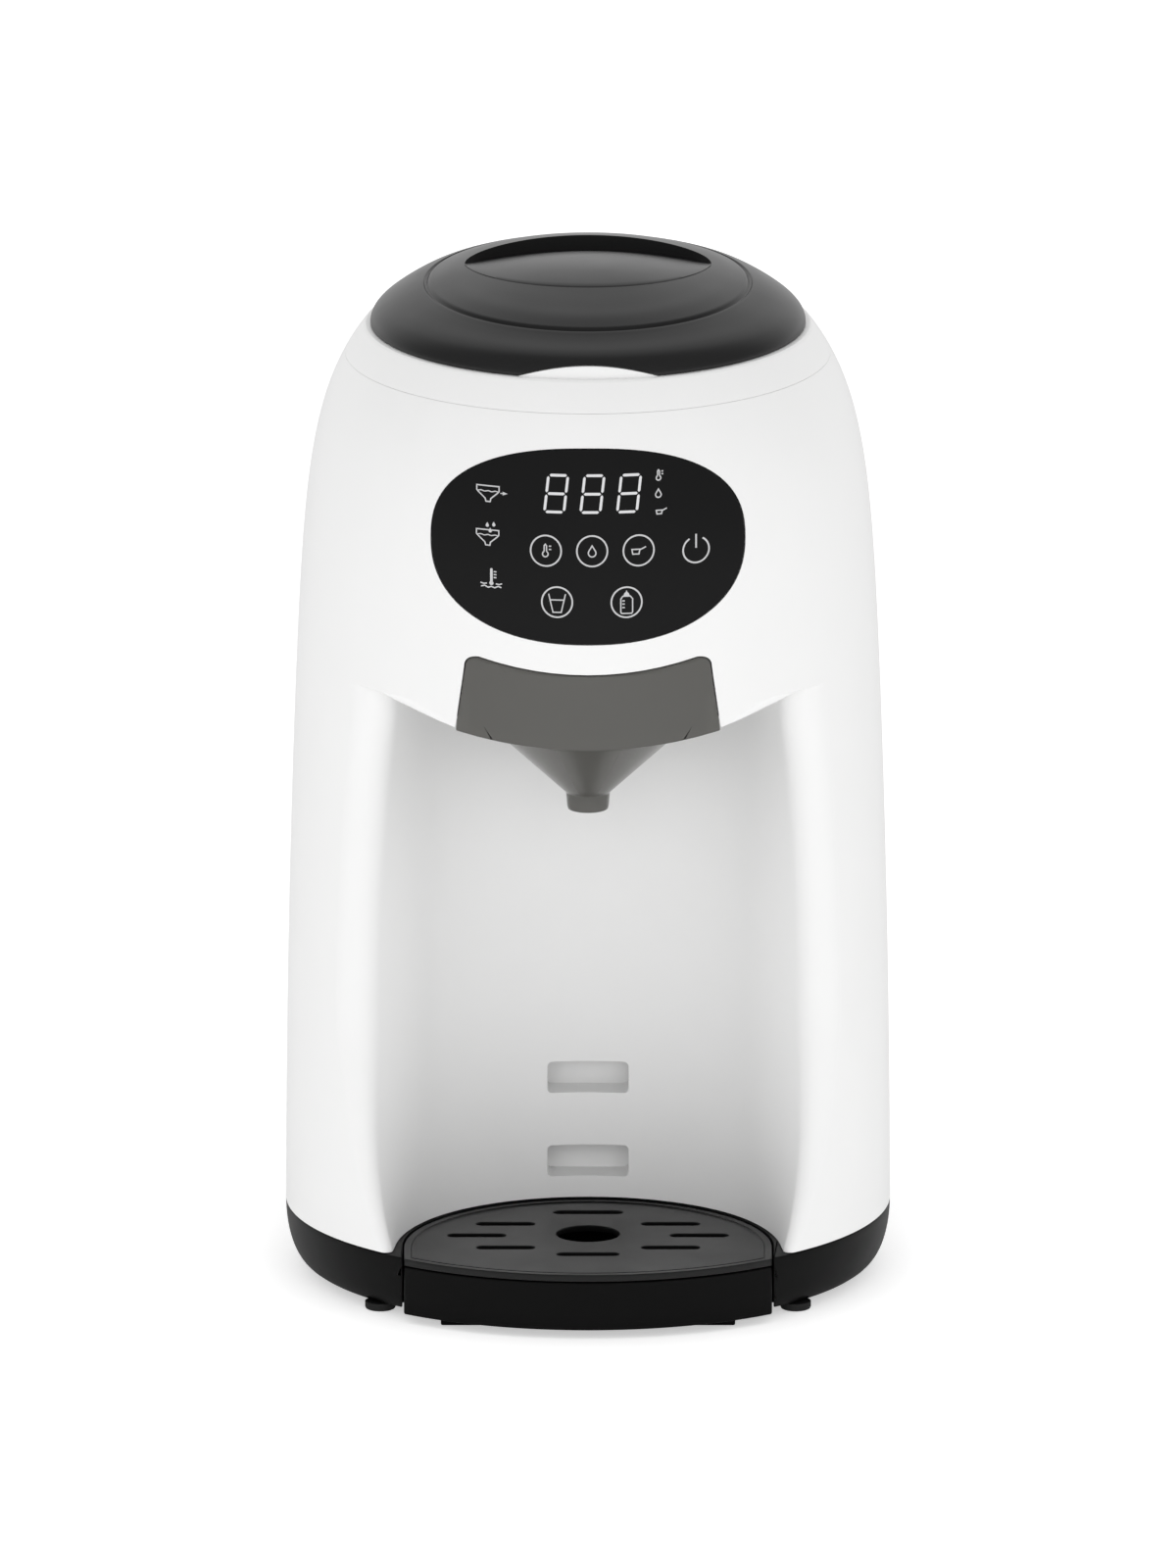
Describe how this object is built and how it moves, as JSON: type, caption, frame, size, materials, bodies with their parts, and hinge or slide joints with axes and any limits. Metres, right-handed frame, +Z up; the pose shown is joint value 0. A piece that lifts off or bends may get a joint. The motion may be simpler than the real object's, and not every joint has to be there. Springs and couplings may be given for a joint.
{
  "type": "baby formula maker",
  "caption": "Round countertop formula maker with lift-off lid, powder box, pull-out mixing funnel, bottle bay with drip tray and rear water tank.",
  "frame": {"origin": "on the table under the middle of the part's box", "axes": "+Z up, -Y towards the user (bottle bay and panel), +Y towards the water tank"},
  "size_m": [0.205, 0.252, 0.3536],
  "materials": {
    "white_plastic": "satin white moulded plastic",
    "black_plastic": "fine matt black",
    "lid_plastic": "fine matt charcoal",
    "foot_rubber": "matt",
    "screw_steel": "plain",
    "panel_gloss": "glossy black with pale printed marks",
    "board_green": "solder mask",
    "display_black": "plain",
    "clear_plastic": "clear grey plastic",
    "nylon": "natural nylon",
    "silicone": "matt translucent",
    "motor_metal": "drawn metal",
    "smoke_plastic": "smoky clear plastic",
    "tray_plastic": "satin black",
    "grate_plastic": "fine matt charcoal"
  },
  "bodies": {
    "root": {"base_shell": "black_plastic", "bottom_plate": "black_plastic", "base_foot_1": "foot_rubber", "base_foot_2": "foot_rubber", "base_foot_3": "foot_rubber", "base_foot_4": "foot_rubber", "base_screw_1": "screw_steel", "base_screw_2": "screw_steel", "base_screw_3": "screw_steel", "base_screw_4": "screw_steel", "cord_gland": "foot_rubber", "front_housing": "white_plastic", "rear_housing": "white_plastic", "top_ring": "white_plastic", "panel_glass": "panel_gloss", "panel_board": "board_green", "display_module": "display_black", "powder_deck": "white_plastic", "motor_bracket": "screw_steel", "drive_motor": "motor_metal", "funnel_guide": "white_plastic", "water_nozzle": "silicone", "pump": "display_black", "heater": "motor_metal", "suction_hose": "silicone", "cross_hose": "silicone", "hot_hose": "silicone", "control_board": "board_green", "tank_dock": "black_plastic"},
    "powder": {"powder_box": "clear_plastic"},
    "wheel": {"dosing_wheel": "nylon", "stirrer": "nylon"},
    "lid": {"lid": "lid_plastic", "lid_seal": "silicone"},
    "drive": {"drive_gear": "nylon", "drive_coupling": "nylon"},
    "pinion": {"motor_pinion": "screw_steel"},
    "funnel": {"funnel": "smoke_plastic"},
    "tray": {"tray_bowl": "tray_plastic"},
    "grate": {"tray_grate": "grate_plastic"},
    "tank": {"water_tank": "clear_plastic", "tank_lid": "lid_plastic", "dock_seal": "silicone"},
    "flap": {"fill_flap": "lid_plastic"},
    "valve": {"tank_valve": "nylon"}
  },
  "joints": [
    {"name": "box_lift", "type": "slide", "parent": "root", "child": "powder", "axis": [0, 0, 1], "range_m": [0, 0.12]},
    {"name": "lid_lift", "type": "slide", "parent": "powder", "child": "lid", "axis": [0, 0, 1], "range_m": [0, 0.06]},
    {"name": "wheel_spin", "type": "hinge", "parent": "powder", "child": "wheel", "pos_m": [0, -0.024, 0.248], "axis": [0, 0, 1], "continuous": true},
    {"name": "drive_spin", "type": "hinge", "parent": "root", "child": "drive", "pos_m": [0, -0.024, 0.235], "axis": [0, 0, 1], "continuous": true},
    {"name": "pinion_spin", "type": "hinge", "parent": "root", "child": "pinion", "pos_m": [0, 0.003, 0.235], "axis": [0, 0, 1], "continuous": true},
    {"name": "funnel_slide", "type": "slide", "parent": "root", "child": "funnel", "axis": [0, -1, 0], "range_m": [0, 0.11]},
    {"name": "tray_slide", "type": "slide", "parent": "root", "child": "tray", "axis": [0, -1, 0], "range_m": [0, 0.12]},
    {"name": "grate_lift", "type": "slide", "parent": "tray", "child": "grate", "axis": [0, 0, 1], "range_m": [0, 0.06]},
    {"name": "tank_lift", "type": "slide", "parent": "root", "child": "tank", "axis": [0, 0, 1], "range_m": [0, 0.15]},
    {"name": "flap_hinge", "type": "hinge", "parent": "tank", "child": "flap", "pos_m": [0, 0.112, 0.2584], "axis": [-1, 0, 0], "range_deg": [0, 100]},
    {"name": "valve_drop", "type": "slide", "parent": "tank", "child": "valve", "axis": [0, 0, 1], "range_m": [-0.003, 0]}
  ],
  "couplings": [
    {"joint": "drive_spin", "follows": "wheel_spin", "ratio": 1},
    {"joint": "pinion_spin", "follows": "wheel_spin", "ratio": -2},
    {"joint": "valve_drop", "follows": "tank_lift", "ratio": -0.02}
  ]
}
